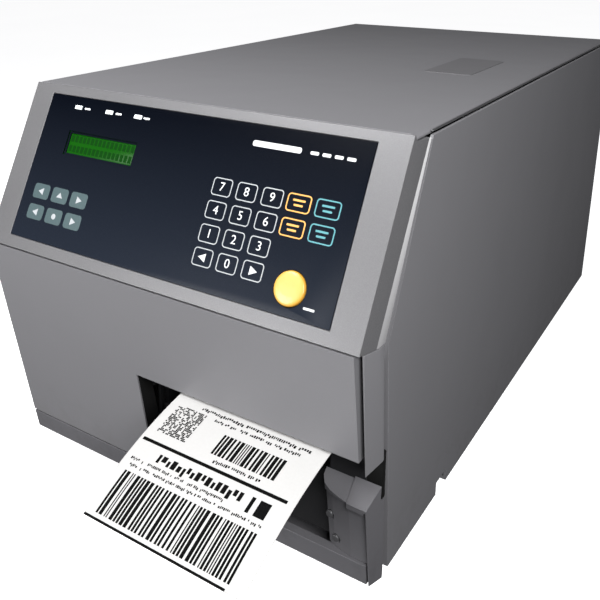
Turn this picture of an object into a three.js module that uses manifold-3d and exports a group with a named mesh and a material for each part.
// Industrial thermal label printer for 4 inch labels, as an assembly of its separate pieces.
//
// Millimetres, +Z up. The printer faces -Y, and +X is the side of the media door. Pieces are placed in the
// printer's own frame: Y = 0 is the console's lower front edge and Z = 0 the underside of the base tray.
// The finished group is then moved so that the origin is the centre of its bounding box, at the feet's soles.
import * as THREE from "three";
import { mergeVertices } from "three/addons/utils/BufferGeometryUtils.js";
import Module from "manifold-3d";

const wasm = await Module();
wasm.setup();

// ---------------------------------------------------------------- driving dimensions
const HALF_WIDTH = 138; // overall width 276
const HEIGHT = 247; // base tray's underside to the top cover
const LENGTH = 484; // console's lower edge to the back
const FOOT_HEIGHT = 9;
const SHEET = 2; // sheet metal of covers and walls
const GAP = 0.4; // gap between fixed neighbours
const SEAM = 1.3; // visible seam round the front door

// Front profile: the console leans back above its lower edge, and the front door leans back below it.
const CONSOLE_Z = 152; // height of the console's lower edge
const CONSOLE_BACK = 52.2; // how far back its top edge is
const CONSOLE_LEAN = CONSOLE_BACK / (HEIGHT - CONSOLE_Z);
const CONSOLE_ANGLE = Math.atan2(HEIGHT - CONSOLE_Z, CONSOLE_BACK);
const FOOT_BACK = 18.5; // how far back the front's foot is
const FRONT_LEAN = -FOOT_BACK / CONSOLE_Z;
const CONSOLE_DEPTH = 20; // from the slope to the console's back
const COVER_FRONT = 31.8; // front edge of the cover's left side, behind the front door's hinge
const PLINTH = 14; // height of the base tray's front lip
const FRONT_RIGHT = 133.5; // right edge of the front faces, where the corner's bevel starts
const FRONT_SIDE = HALF_WIDTH - 0.3; // right side of the front module
// y, z down the media door's front edge, and down the front module's right side: a wide seam is between them
const MEDIA_DOOR_EDGE = [
  [65, HEIGHT],
  [21.9, 150],
  [31.5, 5],
];
const MODULE_EDGE = [
  [64.2, HEIGHT],
  [17.9, 150],
  [27.5, 5],
];

// Label exit and print line
const LABEL_WIDTH = 101.6;
const LABEL_LEFT = 12; // the label's left edge
const LABEL_RIGHT = LABEL_LEFT + LABEL_WIDTH;
const EXIT_LEFT = -22; // left wall of the exit bay
const EXIT_TOP = 86.6; // lower edge of the front door over the exit
const DOOR_RIGHT = 130.6; // right edge of the front door
const WEB_Z = 85.6; // underside of the web on the platen
const WEB = 0.3; // thickness of label and liner
const WEB_DROOP_FROM = 18; // where the label leaves the tear bar
const LABEL_TIP = -68.5;
const PLATEN = { y: 38, z: 77, radius: 8.3, shaft: 4 };
const ROLL = { y: 345, z: 118, radius: 88, core: 41 };
const GUIDE_ROLLER = { y: 150, z: 60, radius: 8 };
const WALL_X = -26; // middle of the centre wall

// ---------------------------------------------------------------- colours
const paint = (color, roughness, metalness = 0) =>
  new THREE.MeshStandardMaterial({ color, roughness, metalness });
const PAINT = {
  casing: paint(0x77767a, 0.55, 0.1),
  silver: paint(0xb9b8bb, 0.45, 0.2),
  chassis: paint(0x5c5b60, 0.6, 0.1),
  black: paint(0x1b1b1d, 0.6),
  overlay: paint(0x161a24, 0.25),
  display: paint(0x157a12, 0.3),
  board: paint(0x1c5a30, 0.5),
  button: paint(0xf4cf45, 0.4),
  lamp: paint(0xd8dde0, 0.3),
  steel: paint(0xb4b6ba, 0.3, 1),
  zinc: paint(0x9a9c9f, 0.4, 0.9),
  rubber: paint(0x202022, 0.85),
  label: paint(0xf2f0ec, 0.6),
  core: paint(0xb58f63, 0.85),
  hub: paint(0x2d2f33, 0.5),
  lever: paint(0x3c7a4a, 0.5),
};

// ---------------------------------------------------------------- shapes
const shapeOf = (points) => new THREE.Shape(points.map(([a, b]) => new THREE.Vector2(a, b)));

const extruded = (points, depth) =>
  new THREE.ExtrudeGeometry(shapeOf(points), { depth, bevelEnabled: false, curveSegments: 12 });

// A box between two corners.
function block(x0, x1, y0, y1, z0, z1) {
  const geometry = new THREE.BoxGeometry(x1 - x0, y1 - y0, z1 - z0);
  return geometry.translate((x0 + x1) / 2, (y0 + y1) / 2, (z0 + z1) / 2);
}

// A side profile of y, z points, pulled along X. The cyclic turn keeps the solid facing out.
const profileX = (points, x0, x1) =>
  extruded(points, x1 - x0).applyMatrix4(
    new THREE.Matrix4().makeBasis(
      new THREE.Vector3(0, 1, 0),
      new THREE.Vector3(0, 0, 1),
      new THREE.Vector3(1, 0, 0),
    ),
  ).translate(x0, 0, 0);

// A plan outline of x, depth points, pulled up Z, leaning so that depth 0 stays on a sloping front face.
function leaning(points, z0, z1, lean) {
  const shear = new THREE.Matrix4().set(1, 0, 0, 0, 0, 1, lean, 0, 0, 0, 1, 0, 0, 0, 0, 1);
  const upright = extruded(points, z1 - z0).translate(0, 0, z0 - CONSOLE_Z);
  return upright.applyMatrix4(shear).translate(0, 0, CONSOLE_Z);
}

const rect = (x0, x1, y0, y1) => [
  [x0, y0],
  [x1, y0],
  [x1, y1],
  [x0, y1],
];

// A cylinder along X, round y, z.
const rodX = (radius, x0, x1, y, z, segments = 28) =>
  new THREE.CylinderGeometry(radius, radius, x1 - x0, segments)
    .rotateZ(Math.PI / 2)
    .translate((x0 + x1) / 2, y, z);

// A turned piece on an axis along X. Its profile of x, radius points closes, or goes from axis to axis.
const turnedX = (profile, y, z, segments = 32) =>
  new THREE.LatheGeometry(
    profile.map(([x, r]) => new THREE.Vector2(r, x)),
    segments,
  )
    .rotateZ(-Math.PI / 2)
    .translate(0, y, z);

const ring = (x0, x1, inner, outer) => [
  [x0, inner],
  [x0, outer],
  [x1, outer],
  [x1, inner],
  [x0, inner],
];

// ---------------------------------------------------------------- joins and cuts
function solidOf(geometry) {
  const bare = geometry.index ? geometry.toNonIndexed() : geometry.clone();
  bare.deleteAttribute("normal");
  bare.deleteAttribute("uv");
  const merged = mergeVertices(bare, 1e-4);
  const mesh = new wasm.Mesh({
    numProp: 3,
    vertProperties: merged.attributes.position.array,
    triVerts: new Uint32Array(merged.index.array),
  });
  return new wasm.Manifold(mesh);
}

function geometryOf(solid) {
  const mesh = solid.getMesh();
  const geometry = new THREE.BufferGeometry();
  geometry.setAttribute("position", new THREE.BufferAttribute(mesh.vertProperties, 3));
  geometry.setIndex(new THREE.BufferAttribute(mesh.triVerts, 1));
  return geometry;
}

const cut = (geometry, ...tools) =>
  geometryOf(tools.reduce((rest, tool) => rest.subtract(solidOf(tool)), solidOf(geometry)));

const join = (geometry, ...others) =>
  geometryOf(others.reduce((sum, other) => sum.add(solidOf(other)), solidOf(geometry)));

// ---------------------------------------------------------------- the printer
const printer = new THREE.Group();

function add(name, geometry, material, parent = printer) {
  const mesh = new THREE.Mesh(geometry, material);
  mesh.name = name;
  parent.add(mesh);
  return mesh;
}

const frontAt = (z) => (z < CONSOLE_Z ? (z - CONSOLE_Z) * FRONT_LEAN : (z - CONSOLE_Z) * CONSOLE_LEAN);

// What lies behind the front module's right side, ahead of the media door.
const behindModule = () =>
  profileX(
    [...MODULE_EDGE, [MODULE_EDGE[2][0], -1], [120, -1], [120, HEIGHT + 1], [MODULE_EDGE[0][0], HEIGHT + 1]],
    HALF_WIDTH - 8,
    HALF_WIDTH + 1,
  );

// The bevelled corner of the front module, as plan points from the front face to the side.
const CORNER = [
  [FRONT_RIGHT, 0],
  [FRONT_SIDE, 12.2],
];

// ---- chassis: the sheet metal tray, walls and covers that everything is screwed to
const CORNER_GROOVE = [131.6, 132.9]; // upright groove between the lower front and the corner column
const plinth = leaning(rect(-HALF_WIDTH, CORNER_GROOVE[0], 0, 26), 0, PLINTH, FRONT_LEAN);
add(
  "base_tray",
  cut(
    join(plinth, block(-HALF_WIDTH + 3, 130, 24, LENGTH - 4, 0, SHEET)),
    behindModule(),
    block(-HALF_WIDTH + 5, 128, 22.5, 60, SHEET, PLINTH + 1),
    block(-HALF_WIDTH - 1, -HALF_WIDTH + 2.6, COVER_FRONT - GAP, 60, -1, PLINTH + 1),
  ),
  PAINT.chassis,
);

const platenHole = (radius, x0, x1) => rodX(radius, x0, x1, PLATEN.y, PLATEN.z, 20);
add(
  "centre_wall",
  cut(
    profileX(
      [[30, SHEET + GAP], [LENGTH - 5, SHEET + GAP], [LENGTH - 5, 243.8], [75, 243.8], [33, 167], [30, 160]],
      WALL_X - 1,
      WALL_X + 1,
    ),
    platenHole(6, -30, -20),
  ),
  PAINT.chassis,
);

// Rear connectors sit in cut-outs of the rear panel. Each is x0, x1, z0, z1 of its body.
const INLET = [-122, -92, 20, 44];
const ROCKER = [-82, -68, 21, 43];
const USB = [-56, -43, 92, 104];
const NETWORK = [-58, -42, 122, 136];
const SERIAL = [-56, -43.5, 156, 188];
const REAR_FACE = LENGTH - 1;
const cutOut = ([x0, x1, z0, z1]) => block(x0 - GAP, x1 + GAP, 470, LENGTH + 2, z0 - GAP, z1 + GAP);
add(
  "rear_panel",
  cut(
    block(-135.6, 130.8, REAR_FACE - SHEET, REAR_FACE, SHEET + GAP, 244),
    ...[INLET, ROCKER, USB, NETWORK, SERIAL].map(cutOut),
  ),
  PAINT.chassis,
);

// One bent sheet makes the left side and the top. Its front edge follows the console and the front door.
const coverEnd = [
  [-HALF_WIDTH, 0.5],
  [-HALF_WIDTH + SHEET, 0.5],
  [-HALF_WIDTH + SHEET, HEIGHT - 2.5],
  [134.2, HEIGHT - 2.5],
  [134.2, HEIGHT - 1.6],
  [130.6, HEIGHT],
  [-HALF_WIDTH + 2.4, HEIGHT],
  [-HALF_WIDTH, HEIGHT - 2.4],
];
const coverSheet = extruded(coverEnd, LENGTH - 20)
  .rotateX(Math.PI / 2)
  .translate(0, LENGTH, 0);
const frontRoom = profileX(
  [
    [0, -1],
    [COVER_FRONT, -1],
    [COVER_FRONT, CONSOLE_Z - 0.8],
    [CONSOLE_DEPTH + 0.4, CONSOLE_Z - 0.8],
    [CONSOLE_DEPTH + 0.7 + (HEIGHT - 2.6 - CONSOLE_Z) * CONSOLE_LEAN, HEIGHT - 2.6],
    [CONSOLE_BACK + 1, HEIGHT - 2.6],
    [CONSOLE_BACK + 1, HEIGHT + 1],
    [0, HEIGHT + 1],
  ],
  -HALF_WIDTH - 1,
  HALF_WIDTH,
);
add("outer_cover", cut(coverSheet, frontRoom), PAINT.casing);

for (const [side, x] of [["left", -112], ["right", 108]])
  for (const [end, y] of [["front", 62], ["rear", 448]])
    add(
      `foot_${end}_${side}`,
      new THREE.CylinderGeometry(11, 9.5, FOOT_HEIGHT - GAP, 24).rotateX(Math.PI / 2)
        .translate(x, y, -FOOT_HEIGHT / 2 - GAP / 2),
      PAINT.rubber,
    );

// ---- console: a sloping silver bezel with the keypad overlay, display, lamps and print button
const bezelPlan = [[-HALF_WIDTH, 0], ...CORNER, [FRONT_SIDE, CONSOLE_DEPTH], [-HALF_WIDTH, CONSOLE_DEPTH]];
const bezelHollow = rect(-HALF_WIDTH + 3, 130, 4, CONSOLE_DEPTH + 9);
const underCover = block(-HALF_WIDTH - 1, HALF_WIDTH + 1, CONSOLE_BACK + 0.6, 90, HEIGHT - 2.9, HEIGHT + 1);
const slope = new THREE.Group(); // local x across, y up the slope from the console's lower edge, z out of it
slope.position.set(0, 0, CONSOLE_Z);
slope.rotation.x = CONSOLE_ANGLE;
slope.updateMatrix();
printer.add(slope);
const onSlope = (geometry) => geometry.applyMatrix4(slope.matrix);

const PANEL = [-120, 115, 8, 102]; // x and slope range of the overlay
const DISPLAY = [-96, -37.5, 64.5, 80];
const BUTTON = { x: 88.2, v: 22, radius: 9.2, travel: 1.2 };
const LAMPS = { power: -94, ready: -67, fault: -43 };
const LAMP_V = 95.4;
const [px0, px1, pv0, pv1] = PANEL;
const [dx0, dx1, dv0, dv1] = DISPLAY;
const buttonHole = (n0, n1) =>
  new THREE.CylinderGeometry(BUTTON.radius + GAP, BUTTON.radius + GAP, n1 - n0, 32)
    .rotateX(Math.PI / 2)
    .translate(BUTTON.x, BUTTON.v, (n0 + n1) / 2);
const lampHole = (x, margin, n0, n1) =>
  block(x - 3 - margin, x + 3 + margin, LAMP_V - 1.2 - margin, LAMP_V + 1.2 + margin, n0, n1);

add(
  "console_bezel",
  cut(
    leaning(bezelPlan, CONSOLE_Z, HEIGHT - 0.2, CONSOLE_LEAN),
    leaning(bezelHollow, CONSOLE_Z + 3, HEIGHT - 6, CONSOLE_LEAN),
    behindModule(),
    underCover,
    block(-HALF_WIDTH - 1, 130, 30, 90, CONSOLE_Z - 1, 175),
    onSlope(block(px0 - 0.4, px1 + 0.4, pv0 - 0.4, pv1 + 0.4, -1.2, 1)),
    onSlope(block(dx0 - 2, dx1 + 2, dv0 - 2, dv1 + 2, -20, 1)),
    onSlope(buttonHole(-20, 1)),
  ),
  PAINT.silver,
);
add(
  "keypad_overlay",
  cut(
    block(px0, px1, pv0, pv1, -0.8, 0),
    block(dx0, dx1, dv0, dv1, -2, 1),
    buttonHole(-2, 1),
    ...Object.values(LAMPS).map((x) => lampHole(x, 0.3, -2, 1)),
  ),
  PAINT.overlay,
  slope,
);
add("display_module", block(dx0 - 1.5, dx1 + 1.5, dv0 - 1.5, dv1 + 1.5, -8, -1.6), PAINT.display, slope);
for (const [name, x] of Object.entries(LAMPS))
  add(`status_lamp_${name}`, lampHole(x, 0, -0.8, 0.25), PAINT.lamp, slope);
add("console_board", block(px0 + 4, px1 - 4, pv0 + 8, pv1 - 8, -11, -9.4), PAINT.board, slope);
add(
  "print_button",
  turnedX(
    [[-5, 0], [-5, 8.6], [0.2, BUTTON.radius], [1.2, 8.7], [1.8, 7.2], [2.0, 4], [2.0, 0]],
    0,
    0,
    32,
  ).rotateY(-Math.PI / 2).translate(BUTTON.x, BUTTON.v, 0),
  PAINT.button,
  slope,
);

// ---- front door: an L-shaped moulding over the print unit, hinged on its left edge
const DOOR_TOP = CONSOLE_Z - SEAM;
const DOOR_FOOT = PLINTH + SEAM;
const DOOR_BACK = 28.4; // the left return ends here, next to the hinge rod
const SKIN = 3;
const frontDoor = join(
  leaning(rect(-HALF_WIDTH, DOOR_RIGHT, 0, SKIN), EXIT_TOP, DOOR_TOP, FRONT_LEAN),
  leaning(rect(-HALF_WIDTH, EXIT_LEFT, 0, SKIN), DOOR_FOOT, EXIT_TOP + 1, FRONT_LEAN),
  leaning(rect(DOOR_RIGHT - 2.4, DOOR_RIGHT, 0, 9), EXIT_TOP, DOOR_TOP, FRONT_LEAN),
  leaning(rect(EXIT_LEFT - 2.4, DOOR_RIGHT, 0, 7), EXIT_TOP, EXIT_TOP + 2.4, FRONT_LEAN),
  leaning(rect(EXIT_LEFT - 2.4, EXIT_LEFT, 0, 11), DOOR_FOOT, EXIT_TOP + 2.4, FRONT_LEAN),
  leaning(rect(-HALF_WIDTH, DOOR_RIGHT, 0, 7), DOOR_TOP - 2.4, DOOR_TOP, FRONT_LEAN),
  leaning(rect(-HALF_WIDTH, EXIT_LEFT, 0, 9), DOOR_FOOT, DOOR_FOOT + 2.4, FRONT_LEAN),
  profileX(
    [
      [frontAt(DOOR_FOOT), DOOR_FOOT],
      [DOOR_BACK, DOOR_FOOT],
      [DOOR_BACK, DOOR_TOP],
      [frontAt(DOOR_TOP), DOOR_TOP],
    ],
    -HALF_WIDTH,
    -HALF_WIDTH + 2.2,
  ),
);
add("front_door", frontDoor, PAINT.casing);
const FRONT_HINGE = { x: -136.6, y: 30.1, radius: 1.2 };
add(
  "front_hinge_rod",
  new THREE.CylinderGeometry(FRONT_HINGE.radius, FRONT_HINGE.radius, 124, 12)
    .rotateX(Math.PI / 2)
    .translate(FRONT_HINGE.x, FRONT_HINGE.y, 84),
  PAINT.steel,
);

// ---- right front corner: the post beside the door, and the casting under the exit
const POST_FOOT = 78; // its foot rises towards the back
const POST_TOP = CONSOLE_Z - GAP;
add(
  "front_post",
  cut(
    leaning(
      [[FRONT_RIGHT - 0.1, 0.4], [FRONT_RIGHT + 0.2, 0.4], CORNER[1], [FRONT_SIDE, 26], [131, 26], [131, 7],
        [FRONT_RIGHT - 0.1, 7]],
      POST_FOOT,
      POST_TOP,
      FRONT_LEAN,
    ),
    behindModule(),
    profileX([[-2, POST_TOP + 1], [3, POST_TOP + 1], [9.6, POST_FOOT], [4, POST_FOOT]], 130, HALF_WIDTH),
    profileX([[5, POST_FOOT - 8], [45, POST_FOOT - 8], [45, POST_FOOT + 12.5], [9.4, POST_FOOT]], 127, 140),
    block(127, HALF_WIDTH, 27, 60, 60, 160),
  ),
  PAINT.casing,
);

// The casting is a corner block whose top slopes up to the back, a guide wall beside the label with a sloping
// shelf, and a column that runs down to the tray's underside.
const BLOCK_LEFT = 121.7;
const BLOCK_TOP = 55; // front edge of the block's top
const SHELF_Y = 14; // front edge of the shelf
const SHELF_Z = 56.8;
const CAST_BACK = 21.6; // the bearing bracket's foot is behind this, above the casting's low part
const CAST_LOW = 56.5;
const PANEL_DEPTH = 2; // the block's front panel is recessed under a lip
const LIP = 3.5;
const aboveSlope = (y, z, rise) =>
  profileX(
    [
      [0, z - y * rise],
      [CAST_BACK, z + (CAST_BACK - y) * rise],
      [CAST_BACK, CAST_LOW],
      [60, CAST_LOW],
      [60, 120],
      [0, 120],
    ],
    100,
    HALF_WIDTH + 1,
  );
const guideWall = [[104, 9], [106, 6], [110.5, 4], [116, 2.8], [BLOCK_LEFT + 0.1, PANEL_DEPTH]];
const cornerBlock = cut(
  leaning([[BLOCK_LEFT, 0], ...CORNER, [FRONT_SIDE, 30], [BLOCK_LEFT, 30]], PLINTH + GAP, 80, FRONT_LEAN),
  aboveSlope(frontAt(BLOCK_TOP), BLOCK_TOP, 1.1),
  leaning(rect(BLOCK_LEFT - 1, CORNER_GROOVE[0], -1, PANEL_DEPTH), PLINTH, BLOCK_TOP - LIP, FRONT_LEAN),
  leaning(rect(...CORNER_GROOVE, -1, 3.6), PLINTH, BLOCK_TOP - LIP / 2, FRONT_LEAN),
);
const wallAndShelf = cut(
  join(
    leaning([...guideWall, [BLOCK_LEFT + 0.1, 22], [104, 22]], PLINTH + GAP, SHELF_Z - 2, FRONT_LEAN),
    leaning(
      [...guideWall.map(([x, depth]) => [x, depth - 1.4]), [BLOCK_LEFT + 0.1, 22], [104, 22]],
      SHELF_Z - 2.4,
      80,
      FRONT_LEAN,
    ),
  ),
  aboveSlope(SHELF_Y, SHELF_Z, 1),
);
const columnFoot = [[CORNER_GROOVE[1], 0], ...CORNER, [FRONT_SIDE, 30], [CORNER_GROOVE[1], 30]];
const SCREW = { radius: 2.5, height: 1.6, socket: 3.1 };
const GUIDE_SCREWS = { upper: { x: 108, y: 19.8, z: 37 }, lower: { x: 111.5, y: 20.6, z: 21.4 } };
const screwPocket = ({ x, y, z }) =>
  new THREE.CylinderGeometry(SCREW.socket, SCREW.socket, 10, 24).translate(x, y - 5, z);
add(
  "lower_casting",
  cut(
    join(cornerBlock, wallAndShelf, leaning(columnFoot, 0, PLINTH + 1, FRONT_LEAN)),
    behindModule(),
    ...Object.values(GUIDE_SCREWS).map(screwPocket),
  ),
  PAINT.chassis,
);
add("lower_guide_plate", block(-19, 104, 26, 28.5, PLINTH + 2, 58), PAINT.black);
for (const [name, { x, y, z }] of Object.entries(GUIDE_SCREWS))
  add(
    `guide_screw_${name}`,
    new THREE.CylinderGeometry(SCREW.radius, SCREW.radius - 0.4, SCREW.height, 20)
      .translate(x, y - GAP - SCREW.height / 2, z),
    PAINT.zinc,
  );
add("door_magnet", block(117, 126.5, 19, 24, 118, 138), PAINT.black);

// ---- print unit: side plates, platen, printhead and tear bar
add(
  "print_side_left",
  cut(
    profileX([[30, 20], [112, 20], [112, 112], [100, 124], [52, 124], [30, 100]], -21, -18),
    platenHole(PLATEN.shaft + 0.5, -24, -15),
  ),
  PAINT.zinc,
);
add(
  "bearing_bracket_right",
  cut(
    join(
      profileX([[25, 60], [112, 60], [112, 112], [100, 124], [60, 124], [40, 96], [25, 82]], 119.5, 123.5),
      block(106, 128, 22, 25.5, 57, 81),
    ),
    platenHole(PLATEN.shaft + 0.5, 115, 130),
  ),
  PAINT.chassis,
);
add("print_crossbeam", block(-17.6, 119.1, 62, 100, 57, 63), PAINT.zinc);
add("web_guide_plate", block(-17.6, 119.1, 50, 112, 67, 69), PAINT.black);
add("gap_sensor", block(45, 65, 92, 106, 69.3, 74.4), PAINT.black);
add(
  "tear_bar",
  profileX([[18.2, 85.1], [20, 85.3], [28.4, 84.6], [28.4, 82], [19.6, 82.8]], 5, 117),
  PAINT.steel,
);

add(
  "platen_roller",
  turnedX(ring(7, 118, PLATEN.shaft + 0.3, PLATEN.radius), PLATEN.y, PLATEN.z),
  PAINT.rubber,
);
add("platen_shaft", rodX(PLATEN.shaft, -43, 125, PLATEN.y, PLATEN.z, 24), PAINT.steel);

const HEAD_PIVOT = { y: 96, z: 112 };
add(
  "printhead",
  profileX([[31, 90], [34.5, 86.3], [41, 86.3], [52, 92], [52, 104], [31, 104]], 6, 118),
  PAINT.zinc,
);
add(
  "head_bracket",
  cut(
    profileX([[34, 104.4], [74, 104.4], [92, 105], [103, 107], [103, 117], [90, 118], [34, 112]], 2, 116),
    rodX(4.4, 0, 120, HEAD_PIVOT.y, HEAD_PIVOT.z, 20),
  ),
  PAINT.black,
);
add("head_pivot_shaft", rodX(4, -17.6, 119.1, HEAD_PIVOT.y, HEAD_PIVOT.z, 20), PAINT.steel);
const LEVER = { y: 72, z: 116 };
add(
  "head_lever",
  join(
    rodX(8, 124, 130, LEVER.y, LEVER.z, 24),
    profileX([[70, 110], [70, 120], [42, 128], [36, 126], [37, 120]], 124.6, 128.6),
    rodX(6, 118.5, 129.4, 41, 124, 20),
  ),
  PAINT.lever,
);

// ---- printed label in the exit, and the web that feeds it
const droop = (y) => {
  const s = Math.max(WEB_DROOP_FROM - y, 0);
  return 0.12 * s + 0.00254 * s * s;
};
function ribbon(upper) {
  const lower = upper.map(([y, z]) => [y, z - WEB]).reverse();
  return profileX([...upper, ...lower], LABEL_LEFT, LABEL_RIGHT);
}
const exitSteps = 12;
const exitLine = Array.from({ length: exitSteps + 1 }, (_, i) => {
  const y = LABEL_TIP + ((WEB_DROOP_FROM - LABEL_TIP) * i) / exitSteps;
  return [y, WEB_Z + WEB - droop(y)];
});
add("printed_label", ribbon([...exitLine, [PLATEN.y, WEB_Z + WEB]]), PAINT.label);
add(
  "label_web",
  ribbon([
    [PLATEN.y + 0.3, WEB_Z + WEB],
    [GUIDE_ROLLER.y, GUIDE_ROLLER.z + GUIDE_ROLLER.radius + 0.7],
    [ROLL.y - 16, ROLL.z - ROLL.radius + 0.7],
    [ROLL.y, ROLL.z - ROLL.radius - 0.3],
  ]),
  PAINT.label,
);

// ---- media compartment: label roll on its hub, ribbon spindles and guide roller, on the centre wall
add(
  "supply_shaft",
  turnedX([[-24.6, 0], [-24.6, 22], [-20, 22], [-20, 8], [124, 8], [124, 0]], ROLL.y, ROLL.z),
  PAINT.steel,
);
const HUB_TURN = Math.PI / 180;
function hubPoint(radius, degrees) {
  return [ROLL.y + radius * Math.cos(degrees * HUB_TURN), ROLL.z + radius * Math.sin(degrees * HUB_TURN)];
}
const hubOutline = [0, 120, 240].flatMap((at) => [
  hubPoint(37, at - 7),
  hubPoint(37, at),
  hubPoint(37, at + 7),
  ...[16, 38, 60, 82, 104].map((turn) => hubPoint(22, at + turn)),
]);
add(
  "supply_hub",
  cut(
    join(profileX(hubOutline, -10, 117), rodX(62, -14, -10, ROLL.y, ROLL.z, 36)),
    rodX(8.4, -20, 130, ROLL.y, ROLL.z, 24),
  ),
  PAINT.hub,
);
add("roll_core", turnedX(ring(9, 116, 37.6, ROLL.core), ROLL.y, ROLL.z, 40), PAINT.core);
add("label_roll", turnedX(ring(11, 114.5, ROLL.core + 0.3, ROLL.radius), ROLL.y, ROLL.z, 56), PAINT.label);

const RIBBON = { supply: { y: 218, z: 206 }, rewind: { y: 140, z: 198 } };
function spindle({ y, z }) {
  const fins = [0, 90, 180, 270].map((turn) =>
    block(2, 112, -1.6, 1.6, 8, 12.6).rotateX(turn * HUB_TURN).translate(0, y, z),
  );
  return join(
    turnedX([[-24.6, 0], [-24.6, 10], [-6, 10], [-6, 24], [-2, 24], [-2, 9], [118, 9], [118, 0]], y, z, 28),
    ...fins,
  );
}
add("ribbon_supply_spindle", spindle(RIBBON.supply), PAINT.hub);
add("ribbon_rewind_spindle", spindle(RIBBON.rewind), PAINT.hub);

add(
  "guide_roller",
  turnedX(
    [[-24.6, 0], [-24.6, 5], [-10, 5], [-10, 8], [126, 8], [126, 0]],
    GUIDE_ROLLER.y,
    GUIDE_ROLLER.z,
    28,
  ),
  PAINT.steel,
);
add(
  "edge_guide",
  turnedX(ring(114.4, 118, GUIDE_ROLLER.radius + 0.3, 22), GUIDE_ROLLER.y, GUIDE_ROLLER.z, 32),
  PAINT.lever,
);

// ---- drive and electronics, left of the centre wall
const MOTOR = { y: 112, z: 60, half: 28, pulley: 7 };
const PLATEN_PULLEY = 14;
add(
  "platen_pulley",
  turnedX(ring(-43, -32, PLATEN.shaft + 0.3, PLATEN_PULLEY), PLATEN.y, PLATEN.z, 28),
  PAINT.black,
);
// The motor's pulley and the end of its shaft are one piece.
add(
  "motor_pulley",
  turnedX(
    [[-47.2, 0], [-47.2, 2.5], [-43, 2.5], [-43, MOTOR.pulley], [-32, MOTOR.pulley], [-32, 0]],
    MOTOR.y,
    MOTOR.z,
    24,
  ),
  PAINT.steel,
);
add(
  "stepper_motor",
  block(-96, -47.6, MOTOR.y - MOTOR.half, MOTOR.y + MOTOR.half, MOTOR.z - MOTOR.half, MOTOR.z + MOTOR.half),
  PAINT.black,
);
add(
  "motor_bracket",
  cut(
    block(-47.2, -45.2, MOTOR.y - 34, MOTOR.y + 34, SHEET + GAP, MOTOR.z + 34),
    rodX(11, -50, -40, MOTOR.y, MOTOR.z, 24),
  ),
  PAINT.zinc,
);
// The belt is a loop of two arcs and their common tangents, given by its radius round each pulley.
function beltLoop(margin) {
  const big = PLATEN_PULLEY + margin;
  const small = MOTOR.pulley + margin;
  const along = Math.atan2(MOTOR.z - PLATEN.z, MOTOR.y - PLATEN.y);
  const span = Math.hypot(MOTOR.y - PLATEN.y, MOTOR.z - PLATEN.z);
  const lap = Math.acos((big - small) / span);
  const arc = (centre, radius, from, to, steps) =>
    Array.from({ length: steps + 1 }, (_, i) => {
      const a = from + ((to - from) * i) / steps;
      return [centre.y + radius * Math.cos(a), centre.z + radius * Math.sin(a)];
    });
  return [
    ...arc(MOTOR, small, along - lap, along + lap, 10),
    ...arc(PLATEN, big, along + lap, along + 2 * Math.PI - lap, 16),
  ];
}
add("drive_belt", cut(profileX(beltLoop(2), -42, -33), profileX(beltLoop(0.4), -43, -32)), PAINT.rubber);
add("main_board", block(-41, -39.4, 150, 470, 80, 230), PAINT.board);
add("power_supply", block(-132, -62, 330, 458, 8, 62), PAINT.zinc);

// ---- rear connectors and power switch
const socket = ([x0, x1, z0, z1], wall, depth, inside) =>
  cut(
    block(x0, x1, inside, REAR_FACE + 0.6, z0, z1),
    block(x0 + wall, x1 - wall, REAR_FACE - depth, LENGTH + 2, z0 + wall, z1 - wall),
  );
add("power_inlet", socket(INLET, 3, 16, 463), PAINT.black);
add("usb_port", socket(USB, 1.6, 10, 471), PAINT.zinc);
add("network_port", socket(NETWORK, 1.8, 11, 471), PAINT.zinc);
add("serial_port", block(SERIAL[0], SERIAL[1], 472, REAR_FACE + 0.8, SERIAL[2], SERIAL[3]), PAINT.zinc);
const ROCKER_Z = (ROCKER[2] + ROCKER[3]) / 2;
add(
  "power_rocker",
  profileX(
    [
      [474, ROCKER_Z - 6],
      [REAR_FACE - 0.6, ROCKER_Z - 9.4],
      [REAR_FACE + 0.8, ROCKER_Z - 9],
      [REAR_FACE - 1.6, ROCKER_Z],
      [REAR_FACE - 2.6, ROCKER_Z + 8.6],
      [REAR_FACE - 4.6, ROCKER_Z + 8.8],
      [474, ROCKER_Z + 6],
    ],
    ROCKER[0] + 0.4,
    ROCKER[1] - 0.4,
  ),
  PAINT.black,
);

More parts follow.
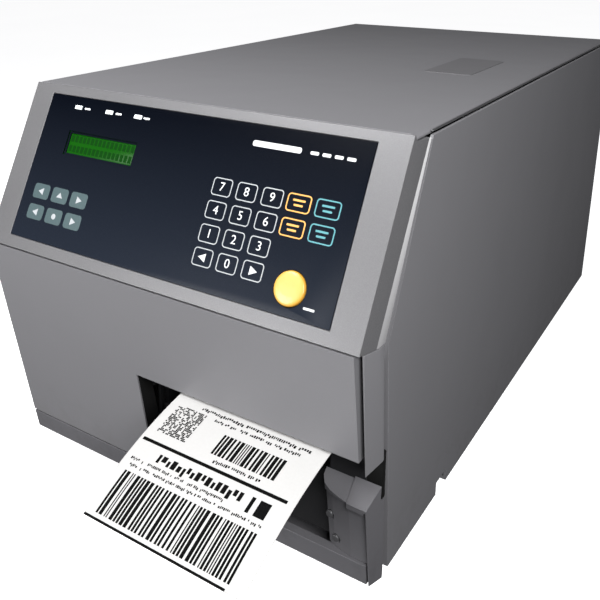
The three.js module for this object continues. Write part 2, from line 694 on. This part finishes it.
// ---- media door: one big pan on the right side, hung from a rod in the groove along its top edge
const SIDE_HINGE = { x: 135.25, z: 246 };
const MEDIA_DOOR_TOP = SIDE_HINGE.z - 1;
const MEDIA_DOOR_FOOT = 5;
const MEDIA_DOOR_BACK = LENGTH - 0.5;
const doorInner = HALF_WIDTH - 1.8;
const doorFace = [
  [MEDIA_DOOR_EDGE[0][0] - 1, MEDIA_DOOR_TOP],
  [MEDIA_DOOR_EDGE[1][0], MEDIA_DOOR_EDGE[1][1]],
  [MEDIA_DOOR_EDGE[2][0], MEDIA_DOOR_FOOT],
  [MEDIA_DOOR_BACK, MEDIA_DOOR_FOOT],
  [MEDIA_DOOR_BACK, MEDIA_DOOR_TOP],
];
const flangeTop = MEDIA_DOOR_TOP - 14;
const inset = 2; // thickness of the pan's flanges
const flanges = cut(
  profileX(
    [[57.5, flangeTop], ...doorFace.slice(1, 4), [MEDIA_DOOR_BACK, flangeTop]],
    131.2,
    doorInner + 0.5,
  ),
  profileX(
    [
      [57.5 + inset, flangeTop + 1],
      [MEDIA_DOOR_EDGE[1][0] + inset, MEDIA_DOOR_EDGE[1][1]],
      [MEDIA_DOOR_EDGE[2][0] + inset, MEDIA_DOOR_FOOT + inset],
      [MEDIA_DOOR_BACK - inset, MEDIA_DOOR_FOOT + inset],
      [MEDIA_DOOR_BACK - inset, flangeTop + 1],
    ],
    130,
    doorInner,
  ),
);
add(
  "media_door",
  cut(
    join(profileX(doorFace, doorInner, HALF_WIDTH), flanges),
    block(130, HALF_WIDTH + 1, 99, 115, 0, MEDIA_DOOR_FOOT + 9),
  ),
  PAINT.casing,
);
add(
  "side_hinge_rod",
  new THREE.CylinderGeometry(0.65, 0.65, 404, 12).translate(SIDE_HINGE.x, 270, SIDE_HINGE.z),
  PAINT.steel,
);

// ---- origin: the centre of the bounding box, at the soles
printer.updateMatrixWorld(true);
const bounds = new THREE.Box3().setFromObject(printer);
const centre = bounds.getCenter(new THREE.Vector3());
printer.position.set(-centre.x, -centre.y, -bounds.min.z);

export default printer;
